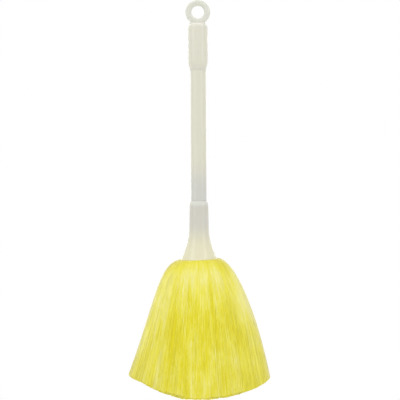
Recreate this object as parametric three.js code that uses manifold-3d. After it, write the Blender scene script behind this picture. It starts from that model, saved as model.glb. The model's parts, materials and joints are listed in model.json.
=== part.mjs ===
// Hand duster: a plastic handle tube between a hang cap and a flared bell, with a head of fibre
// in layers, each tied to the foot of the tube with wire.
// Millimetres, +Z up. The origin is the centre of the hang hole, which runs along Y.
import * as THREE from "three";
import { mergeVertices } from "three/addons/utils/BufferGeometryUtils.js";
import Module from "manifold-3d";

const wasm = await Module();
wasm.setup();

// Hang cap: a ring on the closed end of a sleeve that grips the top of the tube
const ringHoleDiameter = 12.4;
const ringWidth = 6.25; // from the hole to the ring's outside
const ringDepth = 6.4; // front to back
const ringEdgeRadius = 2.2;
const ringSink = 1.4; // how far the ring stands in the sleeve's top
const ringFootWidth = 15.4; // the web that thickens the ring where it meets the sleeve
const ringFootDepth = 5.2;
const capWall = 1.8;
const capLength = 40.3; // top of the sleeve to the edge of its neck
const capShoulderRadius = 2.8;
const capEndWall = 6; // between the tube's end and the sleeve's top
const neckLength = 7;
const neckStep = 0.4; // the sleeve's sharp lower edge, beside the neck
const neckLip = 0.2; // wall left at the neck's foot

// Handle tube
const tubeDiameter = 15.6;
const tubeWall = 1.4;
const tubeShownLength = 130.7; // between the cap's neck and the bell's collar

// Bell: a collar on the tube that flares out to a round mouth
const collarWall = 1.8;
const collarLength = 26.7;
const collarDraft = 0.3; // how much slimmer the collar is at its top
const collarEdgeRadius = 1.5;
const flareLength = 31.6;
const flarePower = 1.9; // 1 is a cone, and more opens late, like a trumpet
const mouthDiameter = 37;
const bellWall = 1.6;

// Fibre head: strands in rows, two rows to each layer, with their tips on a sphere about the mouth
const layerCount = 4;
const outerStrands = 60; // in each row of the outermost layer
const fibreReach = 136.8; // mouth centre to tips
const skirtAngle = 30.8; // degrees from the axis to the outermost tips at the sides
const skirtFrontAngle = 20.5; // the same at the front and back, where the head is flatter
const shoulderReach = 20.8; // how far the outermost row runs outwards before it bends down
const shoulderRise = 3.6; // how much the bend rises above the row's root
const waistReach = 32.6; // how far out, and how far down, the outermost row has got when it straightens
const waistDrop = 40.7;
const strandShare = 0.86; // of the room beside a strand
const strandRootDepth = 1; // thickness towards the next row, at the root and at the tip
const strandTipDepth = 4;
const strandDepthShare = 0.6; // the most of the room to the next row that a strand takes
const tipUnevenness = 2.4; // most that one tip falls short of the sphere
const tipScatter = 2.4; // radians from one strand to the next in the wave that makes the tips uneven
const layerStagger = 0.4; // how far each layer is turned from the one before, in its own strands
const headerThickness = 1.8; // fibre folded under the tie wire
const headerMargin = 0.2; // header above and below the wire
const flangeOverhang = 5.3; // how far the outermost layer's root stands out past its header
const flangeStep = 1.3; // each layer's root is this much smaller in radius than the one above
const rootMargin = 0.4; // flange above its upper row of strands and below its lower row
const rootSpacing = 0.7; // flange between the two rows

// Tie wire on each header
const wireDiameter = 1;
const wireTurns = 2.5;
const wirePitch = 1.6;

// Plug in the tube's foot
const plugLength = 12;
const plugFlangeOverhang = 1.2; // past the tube's outside
const plugFlangeHeight = 2.2;

// Gaps: between a sleeve and what it grips, and between faces that meet
const fitGap = 0.2;
const faceGap = 0.3;

// Faceting
const roundSides = 40;
const arcSteps = 4;
const ringSides = 36;
const flareSteps = 8;
const neckSteps = 6;
const wireSides = 4;
const wireStepsPerTurn = 12;
const outerStations = [0, 0.12, 0.28, 0.55, 1]; // along a strand of the outermost row
const innerStations = [0, 0.4, 1];

// Radii and levels that several pieces share
const tubeRadius = tubeDiameter / 2;
const boreRadius = tubeRadius - tubeWall;
const socketRadius = tubeRadius + fitGap;
const ringHoleRadius = ringHoleDiameter / 2;
const ringOuterRadius = ringHoleRadius + ringWidth;
const capRadius = socketRadius + capWall;
const capTopZ = ringSink - ringOuterRadius;
const neckTopZ = capTopZ - capLength;
const neckFootZ = neckTopZ - neckLength;
const socketTopZ = capTopZ - capEndWall;
const tubeTopZ = socketTopZ - faceGap;
const collarTopZ = neckFootZ - tubeShownLength;
const collarRadius = socketRadius + collarWall;
const flareTopZ = collarTopZ - collarLength;
const mouthZ = flareTopZ - flareLength;
const mouthRadius = mouthDiameter / 2;
const headerRadius = socketRadius + headerThickness;
const headerHeight = wireTurns * wirePitch + wireDiameter + 2 * headerMargin;
const lowerRootDrop = rootMargin + strandRootDepth + rootSpacing;
const flangeHeight = lowerRootDrop + strandRootDepth + rootMargin;
const layerPitch = headerHeight + flangeHeight + faceGap;
const rowCount = 2 * layerCount;
const windingSteps = Math.round(wireStepsPerTurn * wireTurns);
const flangeTopZ = (layer) => mouthZ - faceGap - layer * layerPitch;
const flangeRadius = (layer) => headerRadius + flangeOverhang - layer * flangeStep;
const tubeFootZ = flangeTopZ(layerCount - 1) - flangeHeight;

// Materials
const ivoryPlastic = new THREE.MeshStandardMaterial({ color: 0xe4e0cd, roughness: 0.42, metalness: 0 });
const milkyPlastic = new THREE.MeshStandardMaterial({ color: 0xdfdccb, roughness: 0.38, metalness: 0 });
const yellowFibre = new THREE.MeshStandardMaterial({ color: 0xe9dd3f, roughness: 0.85, metalness: 0 });
const zincWire = new THREE.MeshStandardMaterial({ color: 0xb4b8bb, roughness: 0.4, metalness: 0.9 });
const whitePlastic = new THREE.MeshStandardMaterial({ color: 0xe8e8e4, roughness: 0.5, metalness: 0 });

// A solid turned about Z. The profile holds [radius, height] points, up the outside and then
// down the inside, from axis to axis or as a loop that closes on itself.
function turned(profile) {
  const points = profile.map(([radius, height]) => new THREE.Vector2(radius, height));
  return new THREE.LatheGeometry(points, roundSides).rotateX(Math.PI / 2);
}

// Points on a quarter round between two directions, as [radius, height]
function quarterRound(centreRadius, centreZ, radius, fromDegrees, toDegrees) {
  const points = [];
  for (let step = 0; step <= arcSteps; step++) {
    const angle = THREE.MathUtils.degToRad(
      THREE.MathUtils.lerp(fromDegrees, toDegrees, step / arcSteps),
    );
    points.push([centreRadius + radius * Math.cos(angle), centreZ + radius * Math.sin(angle)]);
  }
  return points;
}

// A geometry as a solid that can be joined and cut
function solidOf(geometry) {
  const bare = geometry.clone();
  bare.deleteAttribute("normal");
  bare.deleteAttribute("uv");
  const merged = mergeVertices(bare);
  const triangles = [];
  const index = merged.index.array;
  for (let i = 0; i < index.length; i += 3) {
    const [a, b, c] = index.slice(i, i + 3);
    if (a !== b && b !== c && c !== a) triangles.push(a, b, c);
  }
  return new wasm.Manifold(
    new wasm.Mesh({
      numProp: 3,
      vertProperties: merged.attributes.position.array,
      triVerts: new Uint32Array(triangles),
    }),
  );
}

// A solid as a geometry that can be shown
function geometryOf(solid) {
  const { vertProperties, triVerts } = solid.getMesh();
  const geometry = new THREE.BufferGeometry();
  geometry.setAttribute("position", new THREE.BufferAttribute(vertProperties, 3));
  geometry.setIndex(new THREE.BufferAttribute(triVerts, 1));
  geometry.computeVertexNormals();
  return geometry;
}

// The ring alone: a rounded rectangle turned about Y, so that its hole runs front to back
function hangRing() {
  const flatDepth = ringDepth / 2 - ringEdgeRadius;
  const innerEdge = ringHoleRadius + ringEdgeRadius;
  const outerEdge = ringOuterRadius - ringEdgeRadius;
  const profile = [
    ...quarterRound(outerEdge, -flatDepth, ringEdgeRadius, -90, 0),
    ...quarterRound(outerEdge, flatDepth, ringEdgeRadius, 0, 90),
    ...quarterRound(innerEdge, flatDepth, ringEdgeRadius, 90, 180),
    ...quarterRound(innerEdge, -flatDepth, ringEdgeRadius, 180, 270),
  ];
  profile.push(profile[0]);
  const points = profile.map(([radius, depth]) => new THREE.Vector2(radius, depth));
  return new THREE.LatheGeometry(points, ringSides);
}

// The cap's sleeve, with its blind socket, and a neck that runs down to the tube in an S-curve
function capSleeve() {
  const lipRadius = socketRadius + neckLip;
  const neckRadius = capRadius - neckStep;
  const neck = [];
  for (let step = 0; step <= neckSteps; step++) {
    const along = step / neckSteps;
    const swell = (1 - Math.cos(Math.PI * along)) / 2;
    neck.push([
      THREE.MathUtils.lerp(lipRadius, neckRadius, swell),
      THREE.MathUtils.lerp(neckFootZ, neckTopZ, along),
    ]);
  }
  return turned([
    [0, socketTopZ],
    [socketRadius, socketTopZ],
    [socketRadius, neckFootZ],
    ...neck,
    [capRadius, neckTopZ + neckStep],
    ...quarterRound(capRadius - capShoulderRadius, capTopZ - capShoulderRadius, capShoulderRadius, 0, 90),
    [0, capTopZ],
  ]);
}

// The web at the ring's foot, from inside the sleeve's top up to the ring's sides
function ringFoot() {
  const halfWidth = ringFootWidth / 2;
  const topZ = -Math.sqrt(ringOuterRadius ** 2 - halfWidth ** 2);
  const footZ = capTopZ - capShoulderRadius;
  const web = new THREE.BoxGeometry(ringFootWidth, ringFootDepth, topZ - footZ);
  return web.translate(0, 0, (topZ + footZ) / 2);
}

function hangCap() {
  return geometryOf(solidOf(capSleeve()).add(solidOf(hangRing())).add(solidOf(ringFoot())));
}

function shaftTube() {
  return turned([
    [tubeRadius, tubeFootZ],
    [tubeRadius, tubeTopZ],
    [boreRadius, tubeTopZ],
    [boreRadius, tubeFootZ],
    [tubeRadius, tubeFootZ],
  ]);
}

// The bell's outside radius below the collar: collar to mouth as a power of the way down
function flareRadius(along) {
  return collarRadius + (mouthRadius - collarRadius) * along ** flarePower;
}

function headBell() {
  const outside = [];
  const inside = [];
  for (let step = 0; step <= flareSteps; step++) {
    const along = step / flareSteps;
    const height = flareTopZ - flareLength * along;
    outside.unshift([flareRadius(along), height]);
    inside.push([Math.max(socketRadius, flareRadius(along) - bellWall), height]);
  }
  const topRadius = collarRadius - collarDraft;
  const loop = [
    ...outside,
    ...quarterRound(topRadius - collarEdgeRadius, collarTopZ - collarEdgeRadius, collarEdgeRadius, 0, 90),
    [socketRadius, collarTopZ],
    ...inside,
  ];
  if (inside[0][0] > socketRadius) loop.splice(loop.length - inside.length, 0, [socketRadius, flareTopZ]);
  return turned([...loop, loop[0]]);
}

// How far out a row's tips lie, from 1 for the outermost row towards 0 at the axis
function rowShare(row) {
  return 1 - row / rowCount;
}

// How far the head spreads in a direction about the axis, beside its spread to the sides: an ellipse
function spread(direction) {
  return 1 / Math.hypot(Math.cos(direction), (Math.sin(direction) * skirtAngle) / skirtFrontAngle);
}

// A row's line in the plane through the axis that lies in a direction: x is the radius and y the
// height. It leaves its flange level, bends down over the shoulder and hangs to a tip on the sphere
// about the mouth.
function rowLine(row, direction) {
  const layer = Math.floor(row / 2);
  const share = rowShare(row);
  const outward = share * spread(direction);
  const rootRadius = flangeRadius(layer);
  const rootZ = flangeTopZ(layer) - (row % 2 ? lowerRootDrop : rootMargin);
  const tipAngle = THREE.MathUtils.degToRad(skirtAngle * outward);
  return new THREE.CubicBezierCurve(
    new THREE.Vector2(rootRadius, rootZ),
    new THREE.Vector2(rootRadius + shoulderReach * outward, rootZ + shoulderRise * share),
    new THREE.Vector2(rootRadius + waistReach * outward, rootZ - waistDrop),
    new THREE.Vector2(fibreReach * Math.sin(tipAngle), mouthZ - fibreReach * Math.cos(tipAngle)),
  );
}

// Sections of one three-sided strand from its root to its tip, as [offset, radius, height] corners.
// Two corners lie on the row's surface, at an angle to either side, and one towards the next row,
// so that a strand stays in its own share of the turn and between its row and the next.
function strandSections(row, direction, halfStrand, shortfall) {
  const line = rowLine(row, direction);
  const nextLine = rowLine(row + 1, direction);
  const sideLines = [-halfStrand, halfStrand].map((offset) => [offset, rowLine(row, direction + offset)]);
  const stations = row === 0 ? outerStations : innerStations;
  return stations.map((station) => {
    const along = station * (1 - shortfall);
    const outer = line.getPoint(along);
    const inward = station === 0 ? new THREE.Vector2(0, -1) : nextLine.getPoint(along).sub(outer);
    const room = station === 0 ? Infinity : inward.length() * strandDepthShare;
    const depth = THREE.MathUtils.lerp(strandRootDepth, strandTipDepth, along);
    const inner = outer.clone().addScaledVector(inward.normalize(), Math.min(depth, room));
    const sides = sideLines.map(([offset, sideLine]) => [offset, ...sideLine.getPoint(along)]);
    return [...sides, [0, inner.x, inner.y]];
  });
}

// Strands in each of a layer's two rows, fewer in the layers inside
function strandCount(layer) {
  return Math.round(outerStrands * (1 - layer / layerCount));
}

// A layer of fibre: its folded header under the wire, its root flange, and two rows of strands.
// The layer is made in equal sectors. Each has flat faces, and two strands that grow out of the
// flat on the flange's rim.
function fibreLayer(layer) {
  const count = strandCount(layer);
  const halfSector = Math.PI / count;
  const rimRadius = flangeRadius(layer);
  const top = flangeTopZ(layer);
  const foot = top - flangeHeight;
  const profile = [
    [rimRadius, foot],
    [socketRadius, foot],
    [socketRadius, top + headerHeight],
    [headerRadius, top + headerHeight],
    [headerRadius, top],
    [rimRadius, top],
  ];
  const positions = [];
  for (let sector = 0; sector < count; sector++) {
    const turn = (2 * Math.PI * (sector + layerStagger * layer)) / count;
    const addTriangle = (...corners) => {
      for (const [offset, radius, height] of corners) {
        const reach = radius / Math.cos(offset);
        positions.push(reach * Math.cos(turn + offset), reach * Math.sin(turn + offset), height);
      }
    };
    for (let step = 0; step + 1 < profile.length; step++) {
      const [from, to] = [profile[step], profile[step + 1]];
      addTriangle([-halfSector, ...from], [-halfSector, ...to], [halfSector, ...to]);
      addTriangle([-halfSector, ...from], [halfSector, ...to], [halfSector, ...from]);
    }
    const strands = [2 * layer, 2 * layer + 1].map((row) => {
      const uneven = (1 + Math.sin(tipScatter * sector + row)) / 2;
      const shortfall = (uneven * tipUnevenness) / fibreReach;
      return strandSections(row, turn, strandShare * halfSector, shortfall);
    });
    const rim = [
      [-halfSector, rimRadius, foot],
      [halfSector, rimRadius, foot],
      [halfSector, rimRadius, top],
      [-halfSector, rimRadius, top],
    ];
    const roots = strands.map((sections) => sections[0]);
    const flat = (corners) => corners.map(([offset, , height]) => new THREE.Vector2(offset, height));
    const rimCorners = [...rim, ...roots.flat()];
    for (const face of THREE.ShapeUtils.triangulateShape(flat(rim), roots.map(flat))) {
      addTriangle(...face.map((corner) => rimCorners[corner]));
    }
    for (const sections of strands) {
      for (let step = 0; step + 1 < sections.length; step++) {
        const [near, far] = [sections[step], sections[step + 1]];
        for (let side = 0; side < 3; side++) {
          const next = (side + 1) % 3;
          addTriangle(near[side], far[side], far[next]);
          addTriangle(near[side], far[next], near[next]);
        }
      }
      const [left, right, inner] = sections[sections.length - 1];
      addTriangle(left, inner, right);
    }
  }
  const geometry = new THREE.BufferGeometry();
  geometry.setAttribute("position", new THREE.Float32BufferAttribute(positions, 3));
  geometry.computeVertexNormals();
  return geometry;
}

// The line of a tie wire, wound round a layer's header, clear of its corners
class Winding extends THREE.Curve {
  constructor(layer) {
    super();
    const cornerRadius = headerRadius / Math.cos(Math.PI / strandCount(layer));
    const clearRadius = cornerRadius + faceGap + wireDiameter / 2;
    this.radius = clearRadius / Math.cos(Math.PI / wireStepsPerTurn);
    this.middleZ = flangeTopZ(layer) + headerHeight / 2;
  }

  getPoint(along, target = new THREE.Vector3()) {
    const angle = 2 * Math.PI * wireTurns * along;
    const height = this.middleZ + wirePitch * wireTurns * (0.5 - along);
    return target.set(this.radius * Math.cos(angle), this.radius * Math.sin(angle), height);
  }
}

// The least gap between the turns of a winding, measured on points at least half a turn apart
function leastGap(winding) {
  const points = winding.getPoints(windingSteps);
  const apart = Math.round(wireStepsPerTurn / 2);
  let least = Infinity;
  for (let i = 0; i < points.length; i++) {
    for (let j = i + apart; j < points.length; j++) least = Math.min(least, points[i].distanceTo(points[j]));
  }
  return least - wireDiameter;
}

function tieWire(layer) {
  const section = new THREE.Shape();
  for (let side = 0; side < wireSides; side++) {
    const angle = (2 * Math.PI * side) / wireSides;
    const corner = [(wireDiameter / 2) * Math.cos(angle), (wireDiameter / 2) * Math.sin(angle)];
    if (side === 0) section.moveTo(...corner);
    else section.lineTo(...corner);
  }
  const winding = new Winding(layer);
  console.log(`tie wire ${layer + 1}: least gap to itself ${leastGap(winding).toFixed(2)} mm`);
  return new THREE.ExtrudeGeometry(section, { steps: windingSteps, extrudePath: winding });
}

// A plug with a flange that closes the tube's foot and keeps the fibre layers on it
function endPlug() {
  const stemRadius = boreRadius - fitGap;
  const flangeTop = tubeFootZ - faceGap;
  const plugRadius = tubeRadius + plugFlangeOverhang;
  return turned([
    [0, flangeTop - plugFlangeHeight],
    [plugRadius, flangeTop - plugFlangeHeight],
    [plugRadius, flangeTop],
    [stemRadius, flangeTop],
    [stemRadius, flangeTop + plugLength],
    [0, flangeTop + plugLength],
  ]);
}

const duster = new THREE.Group();

function addPiece(name, geometry, material) {
  const mesh = new THREE.Mesh(geometry, material);
  mesh.name = name;
  duster.add(mesh);
}

addPiece("hang_cap", hangCap(), ivoryPlastic);
addPiece("shaft_tube", shaftTube(), milkyPlastic);
addPiece("head_bell", headBell(), ivoryPlastic);
addPiece("end_plug", endPlug(), whitePlastic);
for (let layer = 0; layer < layerCount; layer++) {
  addPiece(`fibre_layer_${layer + 1}`, fibreLayer(layer), yellowFibre);
  addPiece(`tie_wire_${layer + 1}`, tieWire(layer), zincWire);
}

export default duster;
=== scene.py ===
"""Looks of a hand duster: a milky plastic tube with a moulded hang cap at its top and a flared bell at
its foot, and a full skirt of fine yellow fibre tied on below the bell.

Metres, +Z up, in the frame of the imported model. The origin is the centre of the hang hole.
"""
import json
import math

import bpy
import numpy as np
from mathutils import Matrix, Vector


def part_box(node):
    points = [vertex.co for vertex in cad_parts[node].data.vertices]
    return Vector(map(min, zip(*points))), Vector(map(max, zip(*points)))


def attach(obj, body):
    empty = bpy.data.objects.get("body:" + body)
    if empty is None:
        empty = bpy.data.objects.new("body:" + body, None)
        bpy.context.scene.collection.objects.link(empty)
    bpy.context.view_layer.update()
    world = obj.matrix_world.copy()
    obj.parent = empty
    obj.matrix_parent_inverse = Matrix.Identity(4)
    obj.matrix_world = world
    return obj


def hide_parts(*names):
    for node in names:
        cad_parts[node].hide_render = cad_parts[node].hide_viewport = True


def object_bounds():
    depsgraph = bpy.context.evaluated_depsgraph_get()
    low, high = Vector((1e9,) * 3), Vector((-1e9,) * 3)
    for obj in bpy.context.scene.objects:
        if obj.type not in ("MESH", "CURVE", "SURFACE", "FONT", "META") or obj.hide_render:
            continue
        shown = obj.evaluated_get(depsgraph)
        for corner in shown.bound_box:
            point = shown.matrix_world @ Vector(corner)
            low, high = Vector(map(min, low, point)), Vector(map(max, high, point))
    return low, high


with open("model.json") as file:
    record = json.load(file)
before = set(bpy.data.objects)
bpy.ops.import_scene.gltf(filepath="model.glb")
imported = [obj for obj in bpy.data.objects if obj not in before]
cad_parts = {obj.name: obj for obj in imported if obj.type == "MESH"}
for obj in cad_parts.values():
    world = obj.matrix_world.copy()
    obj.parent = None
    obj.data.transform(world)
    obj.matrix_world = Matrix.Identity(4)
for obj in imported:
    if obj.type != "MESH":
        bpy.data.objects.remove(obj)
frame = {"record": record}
cad_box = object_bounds()

MM = 0.001
BODY = "root"

# Camera: the photograph's frame is 400 mm wide at the duster's axis
VIEW_DISTANCE = 900 * MM
VIEW_WIDTH = 400 * MM
VIEW_CENTRE = (1.1 * MM, -187.8 * MM)
VIEW_ROLL = 0.006
SENSOR_WIDTH = 36

# Hang cap
RING_SINK = 0.8 * MM
RING_SQUARENESS = 2.4
FOOT_SQUARENESS = 3.0
FOOT_HALF_WIDTH = 7.6 * MM
FOOT_HALF_DEPTH = 3.1 * MM
FOOT_FILLET = 1.1 * MM
FOOT_OVERLAP = 0.6 * MM
FOOT_ROOT = 1.5 * MM
CAP_SHOULDER_RADIUS = 2.8 * MM
CAP_SHOULDER_TALLNESS = 1.5
CAP_CROWN = 0.25 * MM
NECK_LENGTH = 7 * MM
NECK_STEP = 0.25 * MM
NECK_LIP = 0.15 * MM
EDGE_RADIUS = 0.25 * MM

# Handle tube
TUBE_WALL = 1.4 * MM
GREY_START = -146 * MM
GREY_END = -178 * MM

# Bell
COLLAR_WALL = 1.8 * MM
COLLAR_LENGTH = 26.7 * MM
COLLAR_DRAFT = 0.3 * MM
COLLAR_EDGE_RADIUS = 1.5 * MM
COLLAR_EDGE_TALLNESS = 3.2
FLARE_POWER = 1.9
BELL_WALL = 1.6 * MM
RIM_RADIUS = 0.3 * MM
# A painted glow: the bell grows warm towards its mouth, for the yellow fibre seen through its milky wall
FIBRE_GLOW_START = -208 * MM
FIBRE_GLOW_END = -237 * MM
# A painted highlight: the collar is paler near its top edge, between these two depths below it
COLLAR_HIGHLIGHT_START = 6.5 * MM
COLLAR_HIGHLIGHT_END = 2 * MM

# Gaps between pieces
# FIT_GAP is between a sleeve and what it grips, and FACE_GAP between faces that meet. A lip at a sleeve's
# end closes its gap.
FIT_GAP = 0.2 * MM
FACE_GAP = 0.3 * MM
LIP_GAP = 0.02 * MM
LIP_HEIGHT = 0.8 * MM

# Fibre head: how the strands run
# They run from a header under the tie wire to a tip on a sphere. A pair holds a value for the skirt's left
# side and one for its right side, seen from the front.
LAYERS = 4
LAYER_PITCH = 9.2 * MM
FLANGE_RADIUS = 15.1 * MM
FLANGE_STEP = 1.3 * MM
ROOT_RISE = 0.4 * MM
HEADER_THICKNESS = 1.8 * MM
HEADER_LIE = 0.55
HEADER_HEIGHT = 5.4 * MM
FIBRE_REACH = 137.4 * MM
FRONT_SPREAD = 0.665
SKIRT_ANGLE = (math.radians(32.0), math.radians(30.8))
SHOULDER_REACH = (25.6 * MM, 15.2 * MM)
SHOULDER_RISE = (1.5 * MM, 9.0 * MM)
WAIST_REACH = (28.2 * MM, 40.6 * MM)
WAIST_DROP = (40.1 * MM, 43.0 * MM)

# Fibre head: how many strands and how wide
# A way runs from 0 at a strand's root to 1 at its tip, and stations crowd towards the root by a power.
# SIDE_DEPTH is the share of the skin's depth that is left at the skirt's left and right sides.
SKIN_STRANDS = 12000
SKIN_SHARE = 0.975
SIDE_DEPTH = 0.5
SKIN_SECTORS = 8
SKIN_STATIONS = 15
SKIN_TIP_WIDTH = 0.55 * MM
FILL_STRANDS = 12000
FILL_STATIONS = 5
FILL_TIP_WIDTH = 1.4 * MM
FILL_SHARE = (0.02, 0.97)
STATION_CROWDING = 1.25
ROOT_WIDTH = 0.14 * MM
FULL_WIDTH_WAY = 0.5
WIDTH_RANGE = (0.75, 1.25)
STRAND_KEEL = 1.3
SKIN_ROLL = 0.07
FILL_ROLL = 1.5

# Fibre head: how uneven the strands and their locks are
# A wander is sideways and then in and out. A strand is fully loose from LOOSE_WAY on. The hem is trimmed
# towards the skirt's left, by the share of the distance from the axis to that side.
LOCK_SPACING = 5.5 * MM
LOCK_BLUR = 2 * MM
LOCK_GATHER = 0.05
LOCK_PULL_LIMIT = 0.2
LOCK_SWING = 0.8 * MM
LOCK_SHORT = 1.6 * MM
LOOSE_WAY = 0.4
WAVE_HEIGHTS = (0.65, 0.35)
WAVE_RATES = (6, 15)
SKIN_WANDER = (1.1 * MM, 0.14 * MM)
FILL_WANDER = (0.7 * MM, 0.6 * MM)
HEM_UNEVENNESS = 1.0 * MM
HEM_TRIM = (0, 3.8 * MM, 2.0 * MM)
HEM_TRIM_SHARES = (0.3, 0.88, 1)
SEED = 11

# Fibre head: its tint
# It runs from 0 for the deepest yellow to 1 for the palest. Levels hold at the ways named like them. The
# skirt's left and right sides have a shift of their own, which is painted light: a painted sheen that makes
# them paler part of the way down, a deeper tint near the shoulder and painted shade near the hem. They keep
# a share of the strands' and the streaks' differences.
# The low level at the first way, just below the bell's rim, is a painted shadow of the rim.
TINT_WAYS = (0.1, 0.2, 0.35, 0.43, 0.52, 0.75, 1)
TINT_LEVELS = (0.1, 0.4, 0.75, 0.7, 0.37, 0.08, 0.5)
SIDE_SHEEN_AND_SHADE = 0.42
SIDE_SHEEN_AND_SHADE_WAYS = (0.3, 0.45, 0.6, 0.8, 1)
SIDE_SHEEN_AND_SHADE_LEVELS = (-0.7, 0.4, 1.4, 1.0, -0.3)
LOCK_TINT = 0.05
LOCK_TINT_WAVE = 0.12
LOCK_TINT_WAYS = (0.25, 0.6)
LOCK_TINT_GROWTH = (0.3, 1)
LOCK_TINT_PACE = 1.1
SKIN_STRAND_TINT = 0.18
FILL_STRAND_TINT = 0.04
SIDE_STRAND_TINT = 0.4
STREAK_TINT = 1.35
SIDE_STREAK_TINT = 0.5
STREAK_ROOT_SHARE = 0.4
STREAK_GROWTH_LENGTH = 55 * MM

# Fibre head: a strand's square cell of the map
# Its three sides stand side by side over most of the cell, and its two ends lie in a strip above them.
MAP_SIDE = (0.1, 0.9)
MAP_FOOT = 0.04
MAP_LENGTH = 0.84
MAP_END_STRIP = (0.92, 0.98)
MAP_ENDS = ((0.1, 0.4), (0.6, 0.9))

# Tie wire and end plug
WIRE_DIAMETER = 1 * MM
WIRE_TURNS = 2.5
WIRE_PITCH = 1.6 * MM
WIRE_CLEARANCE = 0.1 * MM
PLUG_FLANGE_HEIGHT = 2.2 * MM
PLUG_EDGE_RADIUS = 0.5 * MM

# Stage
FLOOR_DROP = 105 * MM
FLOOR_HALF_WIDTH = 3.0
SHADOW_RADIUS = 0.24
FADE_RADIUS = 0.42
STRIP_LIGHT = (0.4, 1.6)
SOFT_BOX = (1.4, 1.4)
RIGHT_LAMP_PLACE = (1.13, -0.86, 0.4)
LEFT_LAMP_PLACE = (-1.2, -0.75, 0.4)
TOP_LAMP_PLACE = (-0.1, 0, 1.3)
BACK_LAMP_PLACE = (0, 1.4, 0.4)
SIDE_LAMP_POWER = 4.6
TOP_LAMP_POWER = 8.0
BACK_LAMP_POWER = 6.0
AMBIENT = 0.64

# How finely the pieces are divided
# SMOOTH_ANGLE is the bend in degrees past which an edge is sharp.
TURNED_SIDES = 96
PLUG_SIDES = 64
RING_SIDES = 32
RING_STEPS = 120
FOOT_SIDES = 64
WIRE_SIDES = 12
WIRE_STATIONS = 121
EDGE_POINTS = 4
PLUG_EDGE_POINTS = 5
FILLET_POINTS = 9
CROWN_POINTS = 9
COLLAR_EDGE_POINTS = 9
SHOULDER_POINTS = 13
NECK_POINTS = 25
FLARE_POINTS = 33
SMOOTH_ANGLE = 35

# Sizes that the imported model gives
CAP_LOW, CAP_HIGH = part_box("hang_cap")
TUBE_LOW, TUBE_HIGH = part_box("shaft_tube")
BELL_LOW, BELL_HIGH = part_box("head_bell")
PLUG_LOW, PLUG_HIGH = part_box("end_plug")
HANG_HOLE = next(m for m in frame["record"]["mounts"] if m["name"] == "hang_hole")["dims"]
HOLE_RADIUS = HANG_HOLE["r_mm"] * MM
RING_DEPTH = HANG_HOLE["length_mm"] * MM
RING_RADIUS = CAP_HIGH.x
CAP_RADIUS = CAP_HIGH.y
CAP_TOP = RING_SINK - RING_RADIUS
NECK_FOOT = CAP_LOW.z
TUBE_RADIUS = TUBE_HIGH.x
SOCKET_RADIUS = TUBE_RADIUS + FIT_GAP
LIP_RADIUS = TUBE_RADIUS + LIP_GAP
COLLAR_TOP = BELL_HIGH.z
COLLAR_RADIUS = SOCKET_RADIUS + COLLAR_WALL
MOUTH_RADIUS = BELL_HIGH.x
MOUTH = BELL_LOW.z
HEADER_RADIUS = SOCKET_RADIUS + HEADER_THICKNESS
HEM_RADIUS = FIBRE_REACH * math.sin(max(SKIRT_ANGLE))
TIP_LOW = cad_box[0][2]


# Mesh helpers

def arc(centre_radius, centre_height, radius, start, end, count, tallness=1):
    """Points [radius, height] of a circle's arc between two angles in degrees, from +radius to +height.
    A tallness other than 1 stretches the circle upwards to an ellipse."""
    angle = np.radians(np.linspace(start, end, count))
    rise = radius * tallness * np.sin(angle)
    return np.stack([centre_radius + radius * np.cos(angle), centre_height + rise], 1)


def smooth_shading(mesh):
    """Smooth shading, broken along edges that bend more than the set angle"""
    mesh.shade_smooth()
    mesh.set_sharp_from_angle(angle=math.radians(SMOOTH_ANGLE))


def new_piece(name, points, faces, material):
    """A mesh object from an array of points and a list of arrays of faces, one array for each face size"""
    sizes = np.concatenate([np.full(len(f), f.shape[1]) for f in faces])
    starts = np.concatenate([[0], np.cumsum(sizes)[:-1]])
    corners = np.concatenate([f.ravel() for f in faces])
    mesh = bpy.data.meshes.new(name)
    mesh.vertices.add(len(points))
    mesh.vertices.foreach_set("co", np.asarray(points, np.float32).ravel())
    mesh.loops.add(len(corners))
    mesh.loops.foreach_set("vertex_index", corners.astype(np.int32))
    mesh.polygons.add(len(sizes))
    mesh.polygons.foreach_set("loop_start", starts.astype(np.int32))
    mesh.update(calc_edges=True)
    smooth_shading(mesh)
    mesh.materials.append(material)
    piece = bpy.data.objects.new(name, mesh)
    bpy.context.scene.collection.objects.link(piece)
    return piece


def grid_faces(rows, columns, close_rows=False):
    """Quads between neighbours on a grid that closes round its columns, and round its rows if asked.
    Columns run counter-clockwise seen from outside-up, so that rows going up give faces that look out."""
    row = np.arange(rows if close_rows else rows - 1)[:, None]
    column = np.arange(columns)[None, :]
    next_row = (row + 1) % rows
    next_column = (column + 1) % columns
    corners = [row * columns + column, row * columns + next_column,
               next_row * columns + next_column, next_row * columns + column]
    return np.stack(corners, -1).reshape(-1, 4)


def turned(name, profile, material, sides=TURNED_SIDES):
    """A body turned about Z: each profile point [radius, height] is carried round the axis in equal steps.
    The profile runs up the outside and down the inside. It starts and ends on the axis, where each end
    is one point with a fan of triangles, or it is a loop that closes on itself."""
    profile = np.asarray(profile)
    on_axis = profile[0, 0] == 0
    rings = profile[1:-1] if on_axis else profile
    turn = np.linspace(0, 2 * np.pi, sides, endpoint=False)
    radius, height = rings[:, :1], rings[:, 1:]
    grid = np.broadcast_arrays(radius * np.cos(turn), radius * np.sin(turn), height)
    points = np.stack(grid, -1).reshape(-1, 3)
    faces = [grid_faces(len(rings), sides, close_rows=not on_axis)]
    if on_axis:
        start, end = len(points), len(points) + 1
        points = np.concatenate([points, [[0, 0, profile[0, 1]], [0, 0, profile[-1, 1]]]])
        first = np.arange(sides)
        last = first + (len(rings) - 1) * sides
        faces.append(np.stack([np.full(sides, start), np.roll(first, -1), first], 1))
        faces.append(np.stack([np.full(sides, end), last, np.roll(last, -1)], 1))
    return new_piece(name, points, faces, material)


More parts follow.
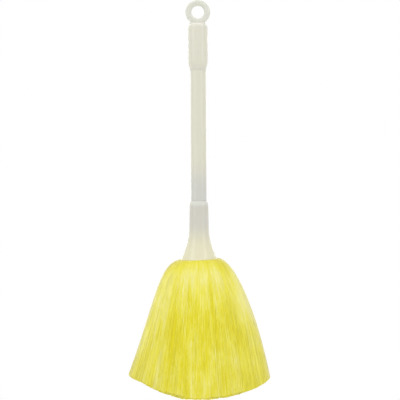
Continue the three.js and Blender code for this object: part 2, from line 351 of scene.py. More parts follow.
def superellipse(half_width, half_depth, squareness, count):
    """Points of a rounded rectangle, |x/a|^n + |y/b|^n = 1, counter-clockwise, with n as its squareness"""
    angle = np.linspace(0, 2 * np.pi, count, endpoint=False)
    cosine, sine = np.cos(angle), np.sin(angle)
    across = half_width * np.sign(cosine) * np.abs(cosine) ** (2 / squareness)
    deep = half_depth * np.sign(sine) * np.abs(sine) ** (2 / squareness)
    return across, deep


# Materials

def linear(code):
    """An sRGB hex colour as linear RGBA"""
    channels = np.array([int(code[i:i + 2], 16) for i in (1, 3, 5)]) / 255
    straight = np.where(channels <= 0.04045, channels / 12.92, ((channels + 0.055) / 1.055) ** 2.4)
    return (*straight.tolist(), 1.0)


def add_node(tree, kind, inputs=None, stops=(), **settings):
    """Adds a node of a kind with its settings. Each input, by its name or number, is set to a value or
    linked to a socket, and a ramp gets its stops as pairs of a place and a hex colour."""
    node = tree.nodes.new(kind)
    for name, value in settings.items():
        setattr(node, name, value)
    for key, value in (inputs or {}).items():
        if isinstance(value, bpy.types.NodeSocket):
            tree.links.new(value, node.inputs[key])
        else:
            node.inputs[key].default_value = value
    for number, (place, code) in enumerate(stops):
        elements = node.color_ramp.elements
        element = elements[number] if number < len(elements) else elements.new(place)
        element.position = place
        element.color = linear(code)
    return node


def new_material(name):
    """An empty node material, ready for its nodes"""
    material = bpy.data.materials.new(name)
    material.use_nodes = True
    material.node_tree.nodes.clear()
    return material, material.node_tree


def moulded_polypropylene(name, ivory, shade, casts=()):
    """Injection-moulded polypropylene, natural: a milky ivory that lets some light in, with a satin skin.
    The eye sees soft clouds where the melt flowed, a fine spark-eroded grain, and casts of colour that grow
    from one height to another. The cap is warm below its ring, and the rest is painted light: paler at the
    foot of the cap's ring to lift the shade the ring casts there, a warm glow in the bell painted for the
    yellow fibre seen through its wall, and a painted highlight along the edge of the bell's collar."""
    material, tree = new_material(name)
    place = add_node(tree, "ShaderNodeTexCoord").outputs["Object"]
    cloud_size = 16 * MM
    clouds = add_node(tree, "ShaderNodeTexNoise", {"Vector": place, "Scale": 1 / cloud_size, "Detail": 3.0,
                                                   "Roughness": 0.55}).outputs["Fac"]
    ramp = add_node(tree, "ShaderNodeValToRGB", {"Fac": clouds}, stops=[(0.3, shade), (0.7, ivory)])
    colour = ramp.outputs["Color"]
    height = add_node(tree, "ShaderNodeSeparateXYZ", {"Vector": place}).outputs["Z"]
    for cast, start, end in casts:
        share = add_node(tree, "ShaderNodeMapRange", {"Value": height, "From Min": start, "From Max": end},
                         interpolation_type="SMOOTHSTEP").outputs["Result"]
        # The colour sockets of this node are its inputs 6 and 7 and its output 2
        mixed = add_node(tree, "ShaderNodeMix", {0: share, 6: colour, 7: linear(cast)}, data_type="RGBA")
        colour = mixed.outputs[2]
    # Spark-eroded grain is about 0.1 mm; it is drawn at 0.5 mm so that it shows
    grain_size = 0.5 * MM
    grain = add_node(tree, "ShaderNodeTexNoise", {"Vector": place, "Scale": 1 / grain_size, "Detail": 2.0})
    bump = add_node(tree, "ShaderNodeBump", {"Strength": 0.12, "Distance": 0.05 * MM,
                                             "Height": grain.outputs["Fac"]})
    gloss = add_node(tree, "ShaderNodeMapRange", {"Value": clouds, "To Min": 0.2, "To Max": 0.28})
    shader = add_node(tree, "ShaderNodeBsdfPrincipled", {
        "Base Color": colour, "Roughness": gloss.outputs["Result"], "IOR": 1.49,
        "Normal": bump.outputs["Normal"], "Subsurface Weight": 0.25,
        "Subsurface Radius": (1.0, 0.95, 0.75), "Subsurface Scale": 0.7 * MM})
    add_node(tree, "ShaderNodeOutputMaterial", {"Surface": shader.outputs["BSDF"]})
    return material


def extruded_polypropylene(name, upper, lower):
    """Extruded polypropylene tube, milky: a satin skin with faint die lines along its length.
    The eye sees ivory that turns to a cooler, greyer white towards the bell."""
    material, tree = new_material(name)
    place = add_node(tree, "ShaderNodeTexCoord").outputs["Object"]
    height = add_node(tree, "ShaderNodeSeparateXYZ", {"Vector": place}).outputs["Z"]
    along = add_node(tree, "ShaderNodeMapRange", {"Value": height, "From Min": GREY_START,
                                                  "From Max": GREY_END}, interpolation_type="SMOOTHSTEP")
    colour = add_node(tree, "ShaderNodeValToRGB", {"Fac": along.outputs["Result"]},
                      stops=[(0.0, upper), (1.0, lower)])
    # Die lines are some 0.7 mm apart and run for about 90 mm
    line_width, line_length = 0.7 * MM, 90 * MM
    stretch = add_node(tree, "ShaderNodeMapping", {
        "Vector": place, "Scale": (1 / line_width, 1 / line_width, 1 / line_length)})
    lines = add_node(tree, "ShaderNodeTexNoise", {"Vector": stretch.outputs["Vector"], "Scale": 1.0,
                                                  "Detail": 2.0}).outputs["Fac"]
    bump = add_node(tree, "ShaderNodeBump", {"Strength": 0.1, "Distance": 0.04 * MM, "Height": lines})
    gloss = add_node(tree, "ShaderNodeMapRange", {"Value": lines, "To Min": 0.2, "To Max": 0.28})
    shader = add_node(tree, "ShaderNodeBsdfPrincipled", {
        "Base Color": colour.outputs["Color"], "Roughness": gloss.outputs["Result"], "IOR": 1.49,
        "Normal": bump.outputs["Normal"], "Subsurface Weight": 0.25,
        "Subsurface Radius": (1.0, 0.98, 0.9), "Subsurface Scale": 2 * MM})
    add_node(tree, "ShaderNodeOutputMaterial", {"Surface": shader.outputs["BSDF"]})
    return material


def dyed_fibre(name, deep, lemon, pale):
    """Fine dyed synthetic fibre, drawn, split and cut: each strand and each lock has its own tint.
    The eye sees lemon yellow in soft streaks with a light bloom, paler over the shoulder and deeper down
    the skirt. The streaks run down the skirt: their pattern is laid out by the turn about Z and by height.
    They grow stronger on their way down, and are weaker at the skirt's left and right sides, by the square
    of the turn's sine."""
    material, tree = new_material(name)
    place = add_node(tree, "ShaderNodeTexCoord").outputs["Object"]
    axes = add_node(tree, "ShaderNodeSeparateXYZ", {"Vector": place}).outputs
    turn = add_node(tree, "ShaderNodeMath", {0: axes["Y"], 1: axes["X"]},
                    operation="ARCTAN2").outputs["Value"]
    # Streaks at the hem are some 26 mm wide and 70 mm long, with ever finer ones inside them
    streak_turn, streak_length = 26 * MM / HEM_RADIUS, 70 * MM
    laid_out = add_node(tree, "ShaderNodeCombineXYZ", {"X": turn, "Y": axes["Z"]}).outputs["Vector"]
    spread = add_node(tree, "ShaderNodeMapping", {
        "Vector": laid_out, "Scale": (1 / streak_turn, 1 / streak_length, 1)}).outputs["Vector"]
    streaks = add_node(tree, "ShaderNodeTexNoise", {"Vector": spread, "Scale": 1.0, "Detail": 7.0,
                                                    "Roughness": 0.9}, noise_dimensions="2D").outputs["Fac"]
    shift = add_node(tree, "ShaderNodeMapRange", {"Value": streaks, "To Min": -STREAK_TINT,
                                                  "To Max": STREAK_TINT}).outputs["Result"]
    growth = add_node(tree, "ShaderNodeMapRange", {
        "Value": axes["Z"], "From Min": MOUTH, "From Max": MOUTH - STREAK_GROWTH_LENGTH,
        "To Min": STREAK_ROOT_SHARE}).outputs["Result"]
    sine = add_node(tree, "ShaderNodeMath", {0: turn}, operation="SINE").outputs["Value"]
    front = add_node(tree, "ShaderNodeMath", {0: sine, 1: sine}, operation="MULTIPLY").outputs["Value"]
    calm = add_node(tree, "ShaderNodeMapRange", {
        "Value": front, "To Min": SIDE_STREAK_TINT}).outputs["Result"]
    strength = add_node(tree, "ShaderNodeMath", {0: growth, 1: calm},
                        operation="MULTIPLY").outputs["Value"]
    tint = add_node(tree, "ShaderNodeAttribute", attribute_name="tint").outputs["Fac"]
    mixed = add_node(tree, "ShaderNodeMath", {0: shift, 1: strength, 2: tint},
                     operation="MULTIPLY_ADD").outputs["Value"]
    colour = add_node(tree, "ShaderNodeValToRGB", {"Fac": mixed},
                      stops=[(0.0, deep), (0.5, lemon), (1.0, pale)])
    shader = add_node(tree, "ShaderNodeBsdfPrincipled", {
        "Base Color": colour.outputs["Color"], "Roughness": 0.55, "IOR": 1.5, "Specular IOR Level": 0.2,
        "Sheen Weight": 1.0, "Sheen Roughness": 0.4})
    add_node(tree, "ShaderNodeOutputMaterial", {"Surface": shader.outputs["BSDF"]})
    return material


def plated_wire(name):
    """Zinc-plated soft steel wire, drawn and wound: a dull silver with a cloudy bloom"""
    material, tree = new_material(name)
    place = add_node(tree, "ShaderNodeTexCoord").outputs["Object"]
    bloom_size = 1.5 * MM
    bloom = add_node(tree, "ShaderNodeTexNoise", {"Vector": place, "Scale": 1 / bloom_size,
                                                  "Detail": 3.0}).outputs["Fac"]
    colour = add_node(tree, "ShaderNodeValToRGB", {"Fac": bloom},
                      stops=[(0.35, "#A9AEB2"), (0.65, "#C6CACC")])
    gloss = add_node(tree, "ShaderNodeMapRange", {"Value": bloom, "To Min": 0.3, "To Max": 0.5})
    shader = add_node(tree, "ShaderNodeBsdfPrincipled", {
        "Base Color": colour.outputs["Color"], "Roughness": gloss.outputs["Result"], "Metallic": 1.0})
    add_node(tree, "ShaderNodeOutputMaterial", {"Surface": shader.outputs["BSDF"]})
    return material


# Hang cap

def cap_sleeve(material):
    """The cap's sleeve turned about Z: a blind socket, a neck that runs out to the sleeve in an S-curve,
    half a cosine wave between two radii, straight sides, a round shoulder and a slight crown"""
    along = np.linspace(0, 1, NECK_POINTS)
    neck_top = NECK_FOOT + NECK_LENGTH
    lip, neck = LIP_RADIUS + NECK_LIP, CAP_RADIUS - NECK_STEP
    swell = (1 - np.cos(np.pi * along)) / 2
    s_curve = np.stack([lip + (neck - lip) * swell, NECK_FOOT + NECK_LENGTH * along], 1)
    socket_top = TUBE_HIGH.z + FACE_GAP
    shoulder = CAP_RADIUS - CAP_SHOULDER_RADIUS
    shoulder_foot = CAP_TOP - CAP_CROWN - CAP_SHOULDER_RADIUS * CAP_SHOULDER_TALLNESS
    crown = np.linspace(shoulder, 0, CROWN_POINTS)[1:]
    profile = np.concatenate([
        [[0, socket_top], [SOCKET_RADIUS / 2, socket_top], [SOCKET_RADIUS, socket_top]],
        [[SOCKET_RADIUS, NECK_FOOT + LIP_HEIGHT], [LIP_RADIUS, NECK_FOOT + LIP_HEIGHT / 2]],
        [[LIP_RADIUS, NECK_FOOT]],
        s_curve,
        arc(CAP_RADIUS - EDGE_RADIUS, neck_top + NECK_STEP + EDGE_RADIUS, EDGE_RADIUS, -60, 0, EDGE_POINTS),
        arc(shoulder, shoulder_foot, CAP_SHOULDER_RADIUS, 0, 90, SHOULDER_POINTS, CAP_SHOULDER_TALLNESS),
        np.stack([crown, CAP_TOP - CAP_CROWN * (crown / shoulder) ** 2], 1),
    ])
    return turned("cap_sleeve", profile, material)


def cap_ring(material):
    """The hang ring: a rounded rectangle, between hole and outside across and front to back deep,
    carried round a circle about Y"""
    half_width = (RING_RADIUS - HOLE_RADIUS) / 2
    across, deep = superellipse(half_width, RING_DEPTH / 2, RING_SQUARENESS, RING_SIDES)
    turn = np.linspace(0, 2 * np.pi, RING_STEPS, endpoint=False)[:, None]
    radius = (RING_RADIUS + HOLE_RADIUS) / 2 + across
    points = np.stack(np.broadcast_arrays(radius * np.cos(turn), deep, radius * np.sin(turn)), -1)
    faces = grid_faces(RING_STEPS, RING_SIDES, close_rows=True)
    return new_piece("cap_ring", points.reshape(-1, 3), [faces], material)


def cap_foot(material):
    """The web under the ring: rounded rectangles stacked from inside the ring down into the crown.
    They widen near the crown like a quarter circle, which leaves a fillet there."""
    top = -math.sqrt(RING_RADIUS ** 2 - FOOT_HALF_WIDTH ** 2) + FOOT_OVERLAP
    rise = np.linspace(1, 0, FILLET_POINTS)
    fillet = FOOT_FILLET * (1 - np.sqrt(1 - rise ** 2))
    height = np.concatenate([[CAP_TOP - FOOT_ROOT], CAP_TOP + FOOT_FILLET * (1 - rise), [top]])
    widen = np.concatenate([[FOOT_FILLET], fillet, [0]])[:, None]
    across, deep = superellipse(1, 1, FOOT_SQUARENESS, FOOT_SIDES)
    grid = np.broadcast_arrays((FOOT_HALF_WIDTH + widen) * across, (FOOT_HALF_DEPTH + widen) * deep,
                               height[:, None])
    first = np.arange(FOOT_SIDES)
    ends = np.stack([first[::-1], first + FOOT_SIDES * (len(height) - 1)])
    faces = [grid_faces(len(height), FOOT_SIDES), ends]
    return new_piece("cap_foot", np.stack(grid, -1).reshape(-1, 3), faces, material)


def join_bodies(first, others, name):
    """One closed skin from overlapping closed bodies, as the union of their solids"""
    for other in others:
        joined = first.modifiers.new("join", "BOOLEAN")
        joined.operation = "UNION"
        joined.solver = "EXACT"
        joined.object = other
    bpy.context.view_layer.update()
    graph = bpy.context.evaluated_depsgraph_get()
    mesh = bpy.data.meshes.new_from_object(first.evaluated_get(graph))
    for piece in (first, *others):
        bpy.data.objects.remove(piece)
    mesh.name = name
    smooth_shading(mesh)
    whole = bpy.data.objects.new(name, mesh)
    bpy.context.scene.collection.objects.link(whole)
    return whole


# Tube, bell, plug and tie wire

def handle_tube(material):
    """A plain tube turned about Z, with its end edges rounded"""
    bore = TUBE_RADIUS - TUBE_WALL
    outer, inner = TUBE_RADIUS - EDGE_RADIUS, bore + EDGE_RADIUS
    low, high = TUBE_LOW.z + EDGE_RADIUS, TUBE_HIGH.z - EDGE_RADIUS
    profile = np.concatenate([
        arc(outer, low, EDGE_RADIUS, -90, 0, EDGE_POINTS),
        arc(outer, high, EDGE_RADIUS, 0, 90, EDGE_POINTS),
        arc(inner, high, EDGE_RADIUS, 90, 180, EDGE_POINTS),
        arc(inner, low, EDGE_RADIUS, 180, 270, EDGE_POINTS),
    ])
    return turned("handle_tube", profile, material)


def bell(material):
    """The bell turned about Z: outside, the mouth's round rim, a flare whose radius grows as a power of the
    way down from the collar, a drafted collar and its round top edge; inside, the socket and the flare less
    the wall"""
    flare_top = COLLAR_TOP - COLLAR_LENGTH
    along = np.linspace(1, 0, FLARE_POINTS)
    height = flare_top + (MOUTH - flare_top) * along
    outside = COLLAR_RADIUS + (MOUTH_RADIUS - COLLAR_RADIUS) * along ** FLARE_POWER
    inside = np.maximum(SOCKET_RADIUS, outside - BELL_WALL)
    rim_height = MOUTH + RIM_RADIUS
    rim_outer, rim_inner = MOUTH_RADIUS - RIM_RADIUS, MOUTH_RADIUS - BELL_WALL + RIM_RADIUS
    collar_edge = COLLAR_RADIUS - COLLAR_DRAFT - COLLAR_EDGE_RADIUS
    edge_height = COLLAR_EDGE_RADIUS * COLLAR_EDGE_TALLNESS
    above_rim = height > rim_height
    profile = np.concatenate([
        arc(rim_inner, rim_height, RIM_RADIUS, 180, 270, EDGE_POINTS),
        arc(rim_outer, rim_height, RIM_RADIUS, -90, 0, EDGE_POINTS),
        np.stack([outside, height], 1)[above_rim],
        arc(collar_edge, COLLAR_TOP - edge_height, COLLAR_EDGE_RADIUS, 0, 90, COLLAR_EDGE_POINTS,
            COLLAR_EDGE_TALLNESS),
        [[LIP_RADIUS, COLLAR_TOP], [LIP_RADIUS, COLLAR_TOP - LIP_HEIGHT / 2]],
        [[SOCKET_RADIUS, COLLAR_TOP - LIP_HEIGHT]],
        np.stack([inside, height], 1)[above_rim][::-1],
    ])
    return turned("head_bell_moulding", profile, material)


def end_plug(material):
    """The plug in the tube's foot, turned about Z: a flange with rounded edges and a stem in the bore"""
    stem = TUBE_RADIUS - TUBE_WALL - FIT_GAP
    flange_top = PLUG_LOW.z + PLUG_FLANGE_HEIGHT
    edge = PLUG_EDGE_RADIUS
    profile = np.concatenate([
        [[0, PLUG_LOW.z], [stem, PLUG_LOW.z]],
        arc(PLUG_HIGH.x - edge, PLUG_LOW.z + edge, edge, -90, 0, PLUG_EDGE_POINTS),
        arc(PLUG_HIGH.x - edge, flange_top - edge, edge, 0, 90, PLUG_EDGE_POINTS),
        [[stem, flange_top]],
        arc(stem - edge, PLUG_HIGH.z - edge, edge, 0, 90, PLUG_EDGE_POINTS),
        [[0, PLUG_HIGH.z]],
    ])
    return turned("end_plug_moulding", profile, material, sides=PLUG_SIDES)


def tie_wire(number, material):
    """A tie wire: a circle carried along a helix about Z, at the middle height of its CAD box"""
    low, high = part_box(f"tie_wire_{number}")
    middle = (low.z + high.z) / 2
    radius = HEADER_RADIUS + FACE_GAP + WIRE_CLEARANCE + WIRE_DIAMETER / 2
    along = np.linspace(0, 1, WIRE_STATIONS)
    angle = 2 * np.pi * WIRE_TURNS * along
    height = middle + WIRE_PITCH * WIRE_TURNS * (along - 0.5)
    centre = np.stack([radius * np.cos(angle), radius * np.sin(angle), height], 1)
    tangent = np.gradient(centre, axis=0)
    tangent /= np.linalg.norm(tangent, axis=1, keepdims=True)
    outward = np.stack([np.cos(angle), np.sin(angle), np.zeros_like(angle)], 1)
    sideways = np.cross(tangent, outward)
    turn = np.linspace(0, 2 * np.pi, WIRE_SIDES, endpoint=False)
    ring = outward[:, None] * np.cos(turn)[:, None] + sideways[:, None] * np.sin(turn)[:, None]
    points = (centre[:, None] + WIRE_DIAMETER / 2 * ring).reshape(-1, 3)
    first = np.arange(WIRE_SIDES)
    ends = np.stack([first[::-1], first + WIRE_SIDES * (WIRE_STATIONS - 1)])
    faces = [grid_faces(WIRE_STATIONS, WIRE_SIDES), ends]
    return new_piece(f"tie_wire_{number}_wound", points, faces, material)


# Fibre head

def pulled_curve(start, lift, waist, end, along):
    """A cubic curve from start to end that is pulled towards lift and then waist: the four are weighted by
    the terms of the cube of back + along, which add up to 1"""
    back = 1 - along
    return (back ** 3 * start + 3 * back ** 2 * along * lift
            + 3 * back * along ** 2 * waist + along ** 3 * end)


def strand_lines(angle, share, reach, along):
    """Radius and height along each strand: two points in the header under the tie wire, then a pulled
    curve that leaves the flange almost level, bends over the shoulder and hangs to a tip on a sphere about
    the mouth. A share of 1 is the outermost strand and 0 lies on the axis. The skirt is flattened front to
    back: outwards, the share is times the radius of an ellipse. Left and right pass into each other as the
    cosine of the angle does."""
    angle, share, reach = angle[:, None], share[:, None], reach[:, None]
    sides = (1 - np.cos(angle)) / 2, (1 + np.cos(angle)) / 2
    skirt_angle, shoulder_reach, shoulder_rise, waist_reach, waist_drop = (
        left * sides[0] + right * sides[1]
        for left, right in (SKIRT_ANGLE, SHOULDER_REACH, SHOULDER_RISE, WAIST_REACH, WAIST_DROP))
    outward = share / np.hypot(np.cos(angle), np.sin(angle) / FRONT_SPREAD)
    layer = LAYERS * (1 - share)
    root_radius = FLANGE_RADIUS - FLANGE_STEP * layer
    root_height = MOUTH + ROOT_RISE - LAYER_PITCH * layer
    tip_angle = skirt_angle * outward
    radius = pulled_curve(root_radius, root_radius + shoulder_reach * outward,
                          root_radius + waist_reach * outward, reach * np.sin(tip_angle), along)
    height = pulled_curve(root_height, root_height + shoulder_rise * share,
                          root_height - waist_drop, MOUTH - reach * np.cos(tip_angle), along)
    header_radius = np.full((len(share), 2), SOCKET_RADIUS + HEADER_THICKNESS * HEADER_LIE)
    header_height = root_height + np.array([HEADER_HEIGHT, 0])
    return np.concatenate([header_radius, radius], 1), np.concatenate([header_height, height], 1)


def gather_locks(angle, share, random):
    """The lock that each strand belongs to, and the angle of each lock's middle. The middles are scattered
    over the round of the tips, and a strand takes the one that is nearest to its tip, give or take a
    blur."""
    count = int(math.pi * HEM_RADIUS ** 2 * FRONT_SPREAD / LOCK_SPACING ** 2)
    lock_angle = random.uniform(0, 2 * np.pi, count)
    lock_share = np.sqrt(random.uniform(0, 1, count))
    tips = np.stack([share * np.cos(angle), share * np.sin(angle)], 1)
    tips = tips + random.normal(0, LOCK_BLUR / HEM_RADIUS, tips.shape)
    middles = np.stack([lock_share * np.cos(lock_angle), lock_share * np.sin(lock_angle)], 1)
    distance = ((tips[:, None] - middles[None]) ** 2).sum(2)
    return distance.argmin(1), lock_angle


def eased_sides(side_share, angle):
    """1 at the skirt's front and back, and a share of that at its left and right, by the sine squared"""
    return side_share + (1 - side_share) * np.sin(angle) ** 2


def slow_wave(way, phases, pace=1):
    """Two sine waves along the strands, about one and two and a half periods long at a pace of 1, and at
    most 1 high"""
    long_wave = WAVE_HEIGHTS[0] * np.sin(WAVE_RATES[0] * pace * way + phases[:, :1])
    short_wave = WAVE_HEIGHTS[1] * np.sin(WAVE_RATES[1] * pace * way + phases[:, 1:])
    return long_wave + short_wave


def ribbon_section(centre, turn, loose, rolled):
    """The three corners of each strand's section, seen from its line and for a half width of 1: a flat
    ribbon with a keel on its inner side, rolled by an angle. Unrolled, the ribbon lies along the oval of
    the skirt, which is a circle where the strands aren't loose yet."""
    tangent = np.gradient(centre, axis=1)
    flattening = 1 + (FRONT_SPREAD ** 2 - 1) * loose
    sideways = np.stack([-np.sin(turn), flattening * np.cos(turn), np.zeros_like(turn)], -1)
    sideways /= np.linalg.norm(sideways, axis=-1, keepdims=True)
    outward = np.cross(tangent, sideways)
    outward /= np.linalg.norm(outward, axis=-1, keepdims=True)
    across = np.array([-1, 0, 1])[:, None]
    deep = np.array([0, -STRAND_KEEL, 0])[:, None]
    return ((across * np.cos(rolled) - deep * np.sin(rolled)) * sideways[:, :, None]
            + (across * np.sin(rolled) + deep * np.cos(rolled)) * outward[:, :, None])


def strand_tints(way, turn, own_tint, lock_phases):
    """Each station's tint: a level that changes on the way, the strand's own tint, a painted sheen and
    shade at the skirt's left and right sides by the square of the cosine, and a slow wave of its lock that
    grows on the way"""
    tint = np.interp(way, TINT_WAYS, TINT_LEVELS) + own_tint[:, None]
    # Painted sheen that makes the left and right sides paler, and painted shade where its levels fall below
    # 0
    side_sheen_and_shade = SIDE_SHEEN_AND_SHADE * np.cos(turn) ** 2
    tint = tint + side_sheen_and_shade * np.interp(way, SIDE_SHEEN_AND_SHADE_WAYS, SIDE_SHEEN_AND_SHADE_LEVELS)
    growth = np.interp(way, LOCK_TINT_WAYS, LOCK_TINT_GROWTH)
    return tint + LOCK_TINT_WAVE * growth * slow_wave(way, lock_phases, LOCK_TINT_PACE)


def strand_points(angle, share, random, stations, tip_width, wander, roll, strand_tint):
    """Corners of three-sided strands as (strand, station, corner) points, and each station's tint.
    A strand follows its line. Its lock draws it in towards the lock's middle as the square of the way to
    the tip. Slow waves of its own and of its lock move it sideways, and its own also in and out. It widens
    from its root on, and is rolled at random, a little in the skin and freely in the filling."""
    count = len(angle)
    lock, lock_angle = gather_locks(angle, share, random)
    locks = len(lock_angle)
    lock_phases = random.uniform(0, 2 * np.pi, (2, locks, 2))[:, lock]
    phases = random.uniform(0, 2 * np.pi, (2, count, 2))
    lock_short = random.uniform(0, 1, locks)[lock]
    left = -np.cos(angle) * share
    trim = np.interp(left, HEM_TRIM_SHARES, HEM_TRIM)
    reach = FIBRE_REACH - trim - LOCK_SHORT * lock_short - HEM_UNEVENNESS * random.uniform(0, 1, count) ** 2
    along = np.linspace(0, 1, stations) ** STATION_CROWDING
    radius, height = strand_lines(angle, share, reach, along)
    way = np.concatenate([[0, 0], along])[None]
    loose = np.clip(way / LOOSE_WAY, 0, 1)
    radius = radius + loose * wander[1] * slow_wave(way, phases[0])
    pull = (lock_angle[lock] - angle + np.pi) % (2 * np.pi) - np.pi
    gather = LOCK_GATHER * way ** 2 * np.clip(pull, -LOCK_PULL_LIMIT, LOCK_PULL_LIMIT)[:, None]
    swing = LOCK_SWING * slow_wave(way, lock_phases[0]) + wander[0] * slow_wave(way, phases[1])
    turn = angle[:, None] + gather + loose * swing / np.maximum(radius, FLANGE_RADIUS)
    centre = np.stack([radius * np.cos(turn), radius * np.sin(turn), height], -1)
    width = ROOT_WIDTH + (tip_width - ROOT_WIDTH) * np.clip(way / FULL_WIDTH_WAY, 0, 1)
    half_width = width * random.uniform(*WIDTH_RANGE, (count, 1)) / 2
    rolled = random.normal(0, roll, (count, 1, 1, 1))
    section = ribbon_section(centre, turn, loose, rolled)
    points = centre[:, :, None] + half_width[:, :, None, None] * section
    lock_tint = LOCK_TINT * random.normal(0, 1, locks)[lock]
    own_tint = lock_tint + strand_tint * eased_sides(SIDE_STRAND_TINT, angle) * random.normal(0, 1, count)
    return points, strand_tints(way, turn, own_tint, lock_phases[1])


def strand_mesh(name, points, tint, material):
    """A piece of many three-sided strands with closed ends. Its map gives each strand a square cell, with
    a third of the cell's width for each side and the ends in a strip along the cell's top."""
    count, stations, sides = points.shape[:3]
    first = np.arange(count)[:, None, None] * stations * sides
    tube = grid_faces(stations, sides)[None] + first
    ends = np.array([[2, 1, 0], [0, 1, 2]]) + np.array([[0], [(stations - 1) * sides]]) + first
    piece = new_piece(name, points.reshape(-1, 3), [tube.reshape(-1, 4), ends.reshape(-1, 3)], material)
    mesh = piece.data
    attribute = mesh.attributes.new("tint", "FLOAT", "POINT")
    attribute.data.foreach_set("value", np.repeat(tint.astype(np.float32), sides))
    cells = math.ceil(math.sqrt(count))
    corner = np.stack([np.arange(count) % cells, np.arange(count) // cells], 1)[:, None]
    row = np.repeat(np.arange(stations - 1), sides)[:, None]
    side = np.tile(np.arange(sides), stations - 1)[:, None]
    across = (side + np.array([*MAP_SIDE, *MAP_SIDE[::-1]])) / sides
    upward = MAP_FOOT + MAP_LENGTH * (row + np.array([0, 0, 1, 1])) / (stations - 1)
    tube_cell = np.stack([across, upward], -1).reshape(-1, 2)
    low, high = MAP_END_STRIP
    end_cell = np.concatenate([[[left, low], [right, low], [left, high]] for left, right in MAP_ENDS])
    tube_map = ((corner + tube_cell) / cells).reshape(-1, 2)
    end_map = ((corner + end_cell) / cells).reshape(-1, 2)
    strand_map = np.concatenate([tube_map, end_map]).astype(np.float32)
    mesh.uv_layers.new(name="OFBake").uv.foreach_set("vector", strand_map.ravel())
    return piece


def fibre_head(material):
    """All the strands. Those of the skin lie close together in the outside of the skirt, in a thinner layer
    at its left and right, and the others fill it evenly over the oval of the tips, as the seeds fill a
    sunflower. The skin is kept in sectors, and the filling in layers."""
    random = np.random.default_rng(SEED)
    skin_angle = 2 * np.pi * (np.arange(SKIN_STRANDS) + random.uniform(0, 1, SKIN_STRANDS)) / SKIN_STRANDS
    skin_depth = (1 - SKIN_SHARE) * eased_sides(SIDE_DEPTH, skin_angle)
    skin_share = 1 - skin_depth * random.uniform(0, 1, SKIN_STRANDS)
    skin_points, skin_tint = strand_points(skin_angle, skin_share, random, SKIN_STATIONS, SKIN_TIP_WIDTH,
                                           SKIN_WANDER, SKIN_ROLL, SKIN_STRAND_TINT)
    golden_angle = math.pi * (3 - math.sqrt(5))
    fill_angle = golden_angle * np.arange(FILL_STRANDS) % (2 * np.pi)
    fill_share = np.sqrt(np.linspace(FILL_SHARE[0] ** 2, FILL_SHARE[1] ** 2, FILL_STRANDS))
    fill_points, fill_tint = strand_points(fill_angle, fill_share, random, FILL_STATIONS, FILL_TIP_WIDTH,
                                           FILL_WANDER, FILL_ROLL, FILL_STRAND_TINT)
    sector = (skin_angle * SKIN_SECTORS / (2 * np.pi)).astype(int)
    layer = (LAYERS * (1 - fill_share)).astype(int)
    pieces = []
    for number in range(SKIN_SECTORS):
        chosen = sector == number
        skin = strand_mesh(f"skirt_skin_{number + 1}", skin_points[chosen], skin_tint[chosen], material)
        pieces.append((skin, "fibre_layer_1", "yellow_fibre"))
    for number in range(LAYERS):
        chosen = layer == number
        filling = strand_mesh(f"skirt_filling_{number + 1}", fill_points[chosen], fill_tint[chosen],
                              material)
        pieces.append((filling, f"fibre_layer_{number + 1}", "yellow_fibre"))
    return pieces


# Stage, light and camera

def background_rays(tree):
    """1 for rays that show the background: from the camera, off gloss and through clear things"""
    path = add_node(tree, "ShaderNodeLightPath").outputs
    most = path["Is Camera Ray"]
    for kind in ("Is Glossy Ray", "Is Transmission Ray"):
        most = add_node(tree, "ShaderNodeMath", {0: most, 1: path[kind]},
                        operation="MAXIMUM").outputs["Value"]
    return most


def pale_floor():
    """A plain floor under the duster. Near the duster it is matt and keeps the shadow, and further out
    what the camera sees fades to the white of the background. Seen from below it is clear."""
    material, tree = new_material("matt_white_paper")
    place = add_node(tree, "ShaderNodeTexCoord").outputs["Object"]
    flat = add_node(tree, "ShaderNodeVectorMath", {0: place, 1: (1, 1, 0)}, operation="MULTIPLY")
    far = add_node(tree, "ShaderNodeVectorMath", {0: flat.outputs["Vector"]}, operation="LENGTH")
    fade = add_node(tree, "ShaderNodeMapRange", {"Value": far.outputs["Value"], "From Min": SHADOW_RADIUS,
                                                 "From Max": FADE_RADIUS}, interpolation_type="SMOOTHSTEP")
    seen = add_node(tree, "ShaderNodeMath", {0: fade.outputs["Result"], 1: background_rays(tree)},
                    operation="MULTIPLY")
    paper = add_node(tree, "ShaderNodeBsdfDiffuse", {"Color": linear("#F4F4F2")})
    white = add_node(tree, "ShaderNodeEmission", {"Strength": 1.0})
    mixed = add_node(tree, "ShaderNodeMixShader", {0: seen.outputs["Value"], 1: paper.outputs["BSDF"],
                                                   2: white.outputs["Emission"]})
    below = add_node(tree, "ShaderNodeNewGeometry").outputs["Backfacing"]
    clear = add_node(tree, "ShaderNodeBsdfTransparent")
    one_sided = add_node(tree, "ShaderNodeMixShader", {0: below, 1: mixed.outputs["Shader"],
                                                       2: clear.outputs["BSDF"]})
    add_node(tree, "ShaderNodeOutputMaterial", {"Surface": one_sided.outputs["Shader"]})
    height = TIP_LOW - FLOOR_DROP
    half = FLOOR_HALF_WIDTH
    corners = np.array([[-half, -half, height], [half, -half, height],
                        [half, half, height], [-half, half, height]])
    new_piece("floor", corners, [np.array([[0, 1, 2, 3]])], material)


def white_world(ambient):
    """A white background, with softer light from all round on the duster itself"""
    world = bpy.data.worlds.new("white_background")
    bpy.context.scene.world = world
    world.use_nodes = True
    tree = world.node_tree
    tree.nodes.clear()
    light = add_node(tree, "ShaderNodeBackground", {"Color": linear("#FFFFFF"), "Strength": ambient})
    white = add_node(tree, "ShaderNodeBackground", {"Color": linear("#FFFFFF"), "Strength": 1.0})
    mixed = add_node(tree, "ShaderNodeMixShader", {0: background_rays(tree), 1: light.outputs["Background"],
                                                   2: white.outputs["Background"]})
    add_node(tree, "ShaderNodeOutputWorld", {"Surface": mixed.outputs["Shader"]})


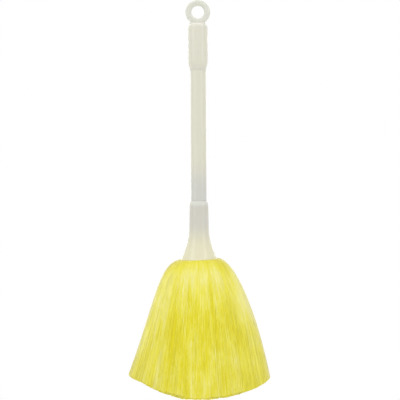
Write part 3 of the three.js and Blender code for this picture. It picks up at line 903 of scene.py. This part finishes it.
def soft_lamp(name, size, place, target, power):
    """A rectangular light of a width and a height that faces a point"""
    lamp = bpy.data.lights.new(name, "AREA")
    lamp.shape = "RECTANGLE"
    lamp.size, lamp.size_y = size
    lamp.energy = power
    holder = bpy.data.objects.new(name, lamp)
    bpy.context.scene.collection.objects.link(holder)
    across, deep, up = np.array(place) - np.array(target)
    holder.location = place
    holder.rotation_euler = (math.atan2(math.hypot(across, deep), up), 0, math.atan2(across, -deep))


def photo_camera():
    """A level camera in front of the duster, leaning a little, as wide as the photograph at the axis"""
    camera = bpy.data.cameras.new("photo_camera")
    camera.sensor_width = SENSOR_WIDTH
    camera.lens = SENSOR_WIDTH * VIEW_DISTANCE / VIEW_WIDTH
    holder = bpy.data.objects.new("photo_camera", camera)
    bpy.context.scene.collection.objects.link(holder)
    holder.location = (VIEW_CENTRE[0], -VIEW_DISTANCE, VIEW_CENTRE[1])
    holder.rotation_euler = (math.pi / 2, VIEW_ROLL, 0)
    bpy.context.scene.camera = holder


# The scene

photo_camera()
bpy.context.scene.view_settings.view_transform = "Standard"

cap_plastic = moulded_polypropylene("moulded_polypropylene_ivory", "#E3E3D9", "#DFDFD3", [
    # Painted light: paler from the ring's lower part down to its foot, lifting the shade that the ring
    # casts there
    ("#E7E6DB", -HOLE_RADIUS, CAP_TOP + FOOT_FILLET),
    ("#E2E0D0", CAP_TOP, CAP_TOP - 2 * CAP_SHOULDER_RADIUS)])
bell_plastic = moulded_polypropylene("moulded_polypropylene_bell", "#D6D4CA", "#D2D0C5", [
    # A painted glow of the yellow fibre seen through the bell's milky wall
    ("#E6E2C4", FIBRE_GLOW_START, FIBRE_GLOW_END),
    # A painted highlight along the collar's top edge
    ("#DEDED5", COLLAR_TOP - COLLAR_HIGHLIGHT_START, COLLAR_TOP - COLLAR_HIGHLIGHT_END)])
tube_plastic = extruded_polypropylene("extruded_polypropylene_milky", "#E0DECC", "#D4D4CD")
plug_plastic = moulded_polypropylene("moulded_polypropylene_white", "#E8E8E4", "#DEDED8")
fibre = dyed_fibre("dyed_synthetic_fibre_lemon", "#E7DB20", "#F2EA56", "#FAF49E")
wire = plated_wire("zinc_plated_wire")

cap_bodies = [cap_ring(cap_plastic), cap_foot(cap_plastic)]
hang_cap = join_bodies(cap_sleeve(cap_plastic), cap_bodies, "hang_cap_moulding")
pieces = [
    (hang_cap, "hang_cap", "ivory_cap"),
    (handle_tube(tube_plastic), "shaft_tube", "milky_tube"),
    (bell(bell_plastic), "head_bell", "ivory_bell"),
    (end_plug(plug_plastic), "end_plug", "white_plug"),
]
for number in range(1, LAYERS + 1):
    pieces.append((tie_wire(number, wire), f"tie_wire_{number}", "zinc_wire"))
for piece, node, slot in pieces + fibre_head(fibre):
    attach(piece, BODY)
    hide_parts(node)

pale_floor()
white_world(AMBIENT)
middle = (0, 0, (CAP_HIGH.z + TIP_LOW) / 2)
soft_lamp("right_lamp", STRIP_LIGHT, RIGHT_LAMP_PLACE, middle, SIDE_LAMP_POWER)
soft_lamp("left_lamp", STRIP_LIGHT, LEFT_LAMP_PLACE, middle, SIDE_LAMP_POWER)
soft_lamp("top_lamp", SOFT_BOX, TOP_LAMP_PLACE, middle, TOP_LAMP_POWER)
soft_lamp("back_lamp", SOFT_BOX, BACK_LAMP_PLACE, middle, BACK_LAMP_POWER)
